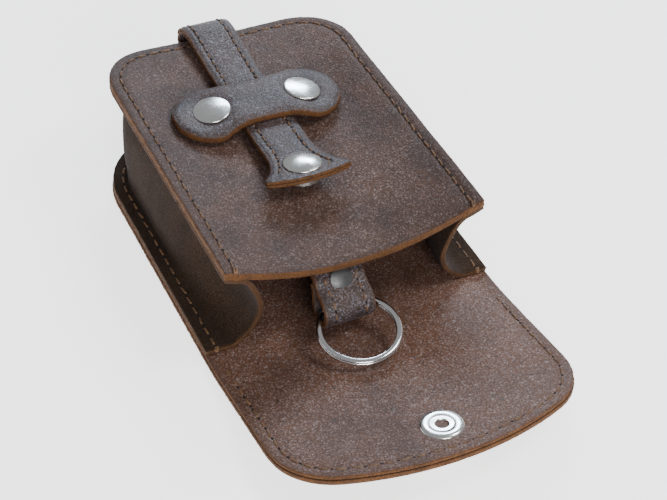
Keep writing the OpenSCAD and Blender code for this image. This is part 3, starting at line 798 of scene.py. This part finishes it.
def keeper_height(u):
    """Height of the keeper's underside: over the strap in the middle, down on the front at the lobes."""
    t = np.clip((np.abs(u) - 7.0) / 13.0, 0, 1)
    return 33.8 - 1.9 * t * t * (3 - 2 * t) + 0.15 * np.clip((np.abs(u) - 21) / 7, 0, 1)


def keeper_half(u):
    """Half the keeper's width at u: two round lobes joined by a waist."""
    a = np.abs(u)
    lobe = np.sqrt(np.maximum(0, LOBE_R**2 - (a - RIVET_U) ** 2))
    waist = WAIST_R + (LOBE_R - WAIST_R) * np.clip(a / RIVET_U, 0, 1) ** 2.6
    return np.where(a > RIVET_U, lobe, waist)


def keeper_shape():
    reach = RIVET_U + LOBE_R - 0.4
    t = np.linspace(-1, 1, 112)
    u = reach * (0.75 * np.sin(t * math.pi / 2) + 0.25 * t)
    half = np.maximum(keeper_half(u) - 0.4, 0.55)
    s = np.linspace(-1, 1, 34)
    grid = np.zeros((34, 112, 3))
    grid[..., 0] = u[None] + STRAP_X
    grid[..., 1] = RIVET_Y + s[:, None] * half[None]
    z = keeper_height(u)[None] + 0 * s[:, None]
    z = z + 0.22 * wobble(grid, 11, 12)
    edge = np.minimum((1 - np.abs(s))[:, None] * half[None], (reach + 0.4 - np.abs(u))[None])
    from_rivet = np.hypot(np.abs(u)[None] - RIVET_U, s[:, None] * half[None])
    press = 0.35 * np.exp(-(((from_rivet - 5.2) / 1.5) ** 2))
    top = grid.copy()
    top[..., 2] = z + THICK - press - 0.45 * np.exp(-((edge / 1.2) ** 2))
    bottom = grid.copy()
    bottom[..., 2] = z
    return top, bottom, np.exp(-edge / 2.2)


top, bottom, rim = keeper_shape()
keeper = plate("keeper_strap", top, bottom, (STRAP, EDGE, FLESH), rim, 0.5, ragged=0.1)
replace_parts(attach(keeper, "case"), "keeper")

CAP_R = 6.0


def cap_profile(radius, dome, rim_height=0.75, roll=0.45):
    """A pressed cap: rolled rim, then a low dome."""
    curve_ = [(radius - roll, 0.0), (radius - 0.08, 0.12), (radius, 0.38), (radius - 0.1, rim_height - 0.12)]
    ball = ((radius - 0.35) ** 2 + dome**2) / (2 * dome)
    points = [(0, 0)] + curve_
    for a in np.linspace(1, 0.04, 14):
        r = (radius - 0.35) * a
        points.append((r, rim_height + math.sqrt(ball * ball - r * r) - ball + dome))
    points.append((0, rim_height + dome))
    return points


for side, word in ((-1, "left"), (1, "right")):
    u = side * RIVET_U
    x, base = u + STRAP_X, float(keeper_height(np.array(u))) + THICK - 0.12
    tilt = place(x, RIVET_Y, base, 0, side * KEEPER_LEAN)
    cap = lathe(f"rivet_cap_{word}", cap_profile(CAP_R, 0.62), tilt, (STEEL,))
    foot = float(front_z(np.array(x), np.array(RIVET_Y))) - THICK
    post = lathe(f"rivet_post_{word}", [(0, foot - 1.2), (1.55, foot - 1.2), (1.55, base), (0, base)],
                 place(x, RIVET_Y, 0), (STEEL,), 24)
    profile = [(0, foot - 1.4), (4.2, foot - 1.3), (4.5, foot - 0.9), (4.5, foot - 0.1),
               (4.2, foot - 0.05), (0, foot - 0.05)]
    back = lathe(f"rivet_back_{word}", profile, place(x, RIVET_Y, 0), (STEEL,), 48)
    for piece in (cap, post, back):
        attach(piece, "case")
    if side == 1:
        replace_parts(cap, "keeper_rivets")
        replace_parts(back, "rivet_backs")


# ---- Straps ----


def ribbon(name, line, half, low_, high_, materials, cuts=(), groove_at=None, flare_end=None, seed=0):
    """A ply of strap: half(s) is its half width at distance s along the line, and low_ to high_ are its
    offsets from the line. line holds (x, y, z), and the strap's width runs along X."""
    line = np.asarray(line, float)
    run = np.concatenate([[0], np.cumsum(np.linalg.norm(np.diff(line, axis=0), axis=1))])
    rows = max(8, int(run[-1] / 0.8))
    want = np.linspace(0, run[-1], rows)
    mid = np.stack([np.interp(want, run, line[:, k]) for k in range(3)], 1)
    along = unit(np.gradient(mid, axis=0))
    normal = np.cross(np.array([1.0, 0, 0]), along)
    cols = 30
    t = np.linspace(-1, 1, cols)
    t = 0.5 * np.sin(t * math.pi / 2) + 0.5 * t
    width = half(want) - 0.3
    across = t[None] * width[:, None]
    tip = np.zeros_like(across) if flare_end is None else flare_end(across, want)
    base = mid[:, None] + tip[..., None] * along[:, None]
    base = base + across[..., None] * np.array([1.0, 0, 0])
    edge = width[:, None] * (1 - np.abs(t))[None]
    soft = 0.16 * wobble(base, 8, 20 + seed)
    shape = -0.35 * np.exp(-((edge / 0.9) ** 2))
    if groove_at is not None:
        shape = shape - 0.22 * np.exp(-(((edge + 0.3 - groove_at) / 0.8) ** 2))
    upper = 1.0 if high_ > 0 else 0.0
    worn = 0.35 * (1 - upper) * np.exp(-((edge / 0.9) ** 2))
    top = base + normal[:, None] * (high_ + soft + shape * upper)[..., None]
    bottom = base + normal[:, None] * (low_ + soft + worn)[..., None]
    return plate(name, top, bottom, materials, np.exp(-edge / 1.8), 0.3, cuts, 0.07)


TAIL_BEND, TAIL_END, TAIL_BULGE, TAIL_SLOPE = 45.0, 27.0, 2.4, math.radians(9)
STRAP_Z = 32.3
CAP_Y = 34.6

tail = [(TAIL_END + 0.35, STRAP_Z + math.tan(TAIL_SLOPE) * (TAIL_BEND - TAIL_END - 0.35) + 0.2),
        (34, STRAP_Z + math.tan(TAIL_SLOPE) * 11), (40, STRAP_Z + math.tan(TAIL_SLOPE) * 5 + 0.05),
        (45, STRAP_Z + 0.25), (53, STRAP_Z), (62, STRAP_Z), (72, STRAP_Z), (78, STRAP_Z + 0.05), (86, 32.8),
        (95, 33.7), (102, 34.6), (107, 34.9), (111, 34.4), (113.8, 32.7), (115, 30.1)]
outer_line = curve(tail, 260)
outer_line = np.column_stack([np.full(len(outer_line), STRAP_X), outer_line])
outer_run = np.concatenate([[0], np.cumsum(np.linalg.norm(np.diff(outer_line, axis=0), axis=1))])


def tail_half(s):
    y = np.interp(s, outer_run, outer_line[:, 1])
    k = np.clip((TAIL_BEND - y) / (TAIL_BEND - TAIL_END - TAIL_BULGE), 0, 1)
    return STRAP_W / 2 + (TAIL_W / 2 - STRAP_W / 2) * k**2.2


def tail_tip(across, s):
    """The tail's end is a shallow arc that bulges in the middle."""
    fade = np.clip(1 - s / 8.0, 0, 1)[:, None]
    return TAIL_BULGE * (across / (TAIL_W / 2)) ** 2 * fade


strap = [
    ribbon("strap_upper", outer_line, tail_half, 0.02, PLY, (STRAP, EDGE, FLESH), ("end",), 3.0, tail_tip),
    ribbon("strap_under", outer_line, tail_half, -PLY, -0.02, (FLESH, EDGE, STRAP), ("end",), None, tail_tip),
]
for piece, word, nodes in zip(strap, ("leather", "strap_lining_leather"),
                              (("strap_face", "strap_bend_face"), ("strap_lining", "strap_bend_lining"))):
    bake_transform(piece)
    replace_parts(piece, *nodes)


def on_strap(s, across, lift):
    p = np.stack([np.interp(s, outer_run, outer_line[:, k]) for k in range(3)], -1)
    q = np.stack([np.interp(s + 0.2, outer_run, outer_line[:, k]) for k in range(3)], -1)
    along = unit(q - p)
    normal = np.cross(np.array([1.0, 0, 0]), along)
    return p + np.asarray(across)[..., None] * np.array([1.0, 0, 0]) + normal * lift, normal


s = np.linspace(5.2, outer_run[-1] - 3, 150)
for side, word in ((-1, "left"), (1, "right")):
    p, nrm = on_strap(s, side * (tail_half(s) - 3.0), PLY - 0.12)
    row = stitches(f"strap_stitches_{word}", p, nrm, 3.6, 2.5, 0.34)
    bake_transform(row)
    if side == 1:
        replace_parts(row, "strap_seams")
a = np.linspace(-1, 1, 40)
x_tip = a * (tail_half(np.array([4.8]))[0] - 3.2)
p, nrm = on_strap(3.4 + TAIL_BULGE * (x_tip / (TAIL_W / 2)) ** 2, x_tip, PLY - 0.12)
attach(stitches("tail_stitches", p, nrm, 3.2, 2.5, 0.34), "strap")

z = STRAP_Z + math.tan(TAIL_SLOPE) * (TAIL_BEND - CAP_Y)
axis = place(STRAP_X, CAP_Y, z, -9)
cap = lathe("tail_cap", cap_profile(CAP_R, 1.15), axis @ Matrix.Translation((0, 0, PLY - 0.05)), (STEEL,))
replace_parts(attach(cap, "strap"), "snap_cap")
post = lathe("tail_post", [(0, -PLY - 0.2), (1.45, -PLY - 0.2), (1.45, PLY), (0, PLY)], axis, (STEEL,), 24)
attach(post, "strap")

# The strap inside the case, from the outside of the bend to where the loop starts
inside = [(115, 30.1), (113.8, 27.2), (110.6, 25.4), (104, 25.0), (96, 24.4), (86, 22.5), (74, 20.3),
          (62, 19.4), (50, 19.4), (38, 19.4), (26, 19.4), (14, 19.4), (6, 19.4)]
inner_line = curve(inside, 260)
shift = -4.6 - STRAP_X
x = STRAP_X + shift * np.clip((115 - inner_line[:, 0]) / 50, 0, 1)
inner_line = np.column_stack([x, inner_line])
BOTH_ENDS = ("start", "end")


def half_strap(s):
    return np.full(len(s), STRAP_W / 2)


# The inner strap's grain face takes the darkened gusset leather, as painted shade where it faces the bright
# floor.
for word, low_, high_, mats, nodes, finish in (
    ("face", -PLY, -0.02, (FLESH, EDGE_DARK, GUSSET_PAINTED_SHADE), ("inner_strap_lining",), "strap_lining_leather"),
    ("lining", 0.02, PLY, (STRAP, EDGE_DARK, FLESH), ("inner_strap_face",), "leather"),
):
    # The line runs towards the mouth here, so its upper side is on the other hand
    piece = ribbon(f"inner_strap_{word}", inner_line[::-1], half_strap, low_, high_, mats, BOTH_ENDS, 3.0)
    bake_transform(piece)
    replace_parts(piece, *nodes)

# The loop that holds the ring
LOOP_X, HINGE_Y, HINGE_Z, LOOP_SLOPE = -4.6, 2.5, 19.4, math.radians(50)
EYE_T, EYE_R = 9.8, 2.9


def loop_point(t, h):
    """A point on the loop: t down along it, h off its face."""
    return (HINGE_Y - t * math.cos(LOOP_SLOPE) - h * math.sin(LOOP_SLOPE),
            HINGE_Z - t * math.sin(LOOP_SLOPE) + h * math.cos(LOOP_SLOPE))


def loop_line():
    """The middle of the loop's two plies, from inside the case, round the eye and back up."""
    points = [(6.2, HINGE_Z), (4.6, HINGE_Z), (3.3, HINGE_Z - 0.15), (2.2, HINGE_Z - 0.75)]
    points += [loop_point(t, 0.1) for t in (1.4, 3.2)]
    r = EYE_R + PLY
    points += [loop_point(5.4, 1.1), loop_point(7.4, 2.3)]
    for a in range(80, -81, -20):
        points.append(loop_point(EYE_T + r * math.cos(math.radians(a)), -PLY + r * math.sin(math.radians(a))))
    points += [loop_point(7.4, -2 * PLY - 2.3), loop_point(5.4, -2 * PLY - 1.1)]
    points += [loop_point(t, -2 * PLY - 0.1) for t in (3.4, 1.6)]
    return curve(points, 150)


line = loop_line()
line = np.column_stack([np.full(len(line), LOOP_X), line])
loop_run = np.concatenate([[0], np.cumsum(np.linalg.norm(np.diff(line, axis=0), axis=1))])
for word, low_, high_, mats, nodes, finish in (
    ("face", -PLY, -0.02, (FLESH, EDGE, STRAP), ("loop_face",), "leather"),
    ("lining", 0.02, PLY, (STRAP, EDGE, FLESH), ("loop_lining",), "strap_lining_leather"),
):
    piece = ribbon(f"loop_{word}", line, half_strap, low_, high_, mats, ("start",), None, seed=3)
    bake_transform(piece)
    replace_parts(piece, *nodes)

s = np.linspace(3.5, 17.5, 40)
for side, word in ((-1, "left"), (1, "right")):
    p = np.stack([np.interp(s, loop_run, line[:, k]) for k in range(3)], -1)
    q = np.stack([np.interp(s + 0.2, loop_run, line[:, k]) for k in range(3)], -1)
    nrm = -np.cross(np.array([1.0, 0, 0]), unit(q - p))
    p = p + [side * (STRAP_W / 2 - 3.2), 0, 0] + nrm * (PLY - 0.05)
    row = stitches(f"loop_stitches_{word}", p, nrm, 3.6, 2.6, 0.34)
    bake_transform(row)

ty, tz = loop_point(2.0, PLY + 0.05)
spot = place(LOOP_X, ty, tz, 50)
# The cap takes the darkened steel: painted shade from the front panel above it.
rivet = lathe("loop_rivet_cap", cap_profile(3.5, 0.45, 0.5, 0.3), spot, (STEEL_PAINTED_SHADE,), 48)
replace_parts(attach(rivet, "loop"), "loop_rivet")
profile = [(0, -5.6), (2.7, -5.6), (3.0, -5.3), (3.0, -4.9), (1.2, -4.9), (1.2, 0.2), (0, 0.2)]
stem = lathe("loop_rivet_stem", profile, spot, (STEEL,), 32)
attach(stem, "loop")


# ---- Split ring ----

RING_R, WIRE = 11.85, 0.85
RING_PLACE = place(LOOP_X, -13.0, 10.25, 5.5, -3)


def split_ring():
    """Two turns of half-round wire, one on the other, with the ends lapped by a crank."""
    count = 260
    a = np.linspace(0, 4 * math.pi, count)
    turns = a / (2 * math.pi)
    crank = np.clip((turns - 0.90) / 0.2, 0, 1)
    height = -0.49 + 0.98 * crank * crank * (3 - 2 * crank)
    sides = 14
    b = np.linspace(0, 2 * math.pi, sides, endpoint=False)
    radial = WIRE * np.sign(np.cos(b)) * np.abs(np.cos(b)) ** 0.75
    upright = 0.47 * np.sign(np.sin(b)) * np.abs(np.sin(b)) ** 0.75
    rings = []
    for i in range(count):
        taper = min(1.0, 0.55 + 0.45 * min(i, count - 1 - i) / 3)
        c = np.array([math.cos(a[i] + 2.2), math.sin(a[i] + 2.2), 0])
        lift = (height[i] + upright[:, None] * taper) * [0, 0, 1.0]
        rings.append((RING_R + radial[:, None] * taper) * c + lift)
    verts = np.concatenate(rings)
    verts = verts @ np.array(RING_PLACE.to_3x3()).T + np.array(RING_PLACE.translation)
    faces = []
    for i in range(count - 1):
        for k in range(sides):
            p, q, m = i * sides, (i + 1) * sides, (k + 1) % sides
            faces.append([p + k, p + m, q + m, q + k])
    faces += [list(range(sides)), list(range(len(verts) - sides, len(verts)))[::-1]]
    return make("key_ring", verts, faces, (RING_STEEL,))


ring = split_ring()
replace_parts(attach(ring, "ring"), "split_ring")


# ---- Flap's snap ----

SNAP_FROM_END = 13.0
v_snap = FOLD_Y - (FLAP_L - SNAP_FROM_END)
here = on_back(np.array([0.0]), np.array([v_snap]), BACK_T)[0]
tilt = -math.degrees(float(slope_at(np.array([v_snap]))[0]))
spot = place(here[0], here[1], here[2], tilt)


def eyelet():
    """A rolled ring with a hole through it, and its tube."""
    section_ = [(1.9, -3.2), (1.9, 0.15), (2.1, 0.55), (2.5, 0.62), (3.0, 0.45), (3.6, 0.62), (4.6, 0.85),
                (5.6, 0.72), (6.2, 0.42), (6.35, 0.1), (6.2, -0.08), (2.6, -0.1), (2.5, -3.2)]
    sides = 72
    verts, faces = [], []
    for k in range(sides):
        a = 2 * math.pi * k / sides
        verts += [(r * math.cos(a), r * math.sin(a), h) for r, h in section_]
    m = len(section_)
    for k in range(sides):
        for i in range(m):
            j, n = (i + 1) % m, (k + 1) % sides
            faces.append([k * m + i, k * m + j, n * m + j, n * m + i])
    verts = np.array(verts) @ np.array(spot.to_3x3()).T + np.array(spot.translation)
    return make("flap_eyelet", verts, faces, (STEEL,))


obj = eyelet()
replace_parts(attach(obj, "flap_tip"), "snap_eyelet")
for node in ("snap_stud", "snap_socket"):
    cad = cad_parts[node]
    cad.data.materials.clear()
    cad.data.materials.append(STEEL)


# ---- Floor and light ----

mesh = bpy.data.meshes.new("floor")
mesh.from_pydata([(-3, -3, -0.0002), (3, -3, -0.0002), (3, 3, -0.0002), (-3, 3, -0.0002)], [], [(0, 1, 2, 3)])
floor = bpy.data.objects.new("floor", mesh)
paper = Nodes("floor")
mesh.materials.append(paper.set(Base_Color=(0.88, 0.88, 0.88), Roughness=0.8, Emission_Color=(1.0, 1.0, 1.0),
                                Emission_Strength=2.0))
bpy.context.scene.collection.objects.link(floor)

world = bpy.data.worlds.new("world")
bpy.context.scene.world = world
world.use_nodes = True
background = world.node_tree.nodes["Background"]
background.inputs[0].default_value = (1.0, 1.0, 1.0, 1)
background.inputs[1].default_value = 0.36


def softbox(name, where, size, power, colour=(1, 1, 1), aim=(0, 0.02, 0.02)):
    data = bpy.data.lights.new(name, "AREA")
    data.shape = "RECTANGLE"
    data.size, data.size_y = size
    data.energy, data.color = power, colour
    lamp = bpy.data.objects.new(name, data)
    lamp.location = where
    lamp.rotation_euler = (Vector(aim) - Vector(where)).to_track_quat("-Z", "Y").to_euler()
    bpy.context.scene.collection.objects.link(lamp)


softbox("back_window", (0.45, 0.85, 0.6), (0.4, 0.3), 7.5, (0.72, 0.85, 1.0))
softbox("key", (0.6, -0.1, 0.9), (0.4, 0.4), 6, (1.0, 0.97, 0.93))
softbox("fill", (-0.15, -0.9, 0.42), (0.5, 0.35), 8.5, (1.0, 0.98, 0.95), (0, -0.01, 0.02))
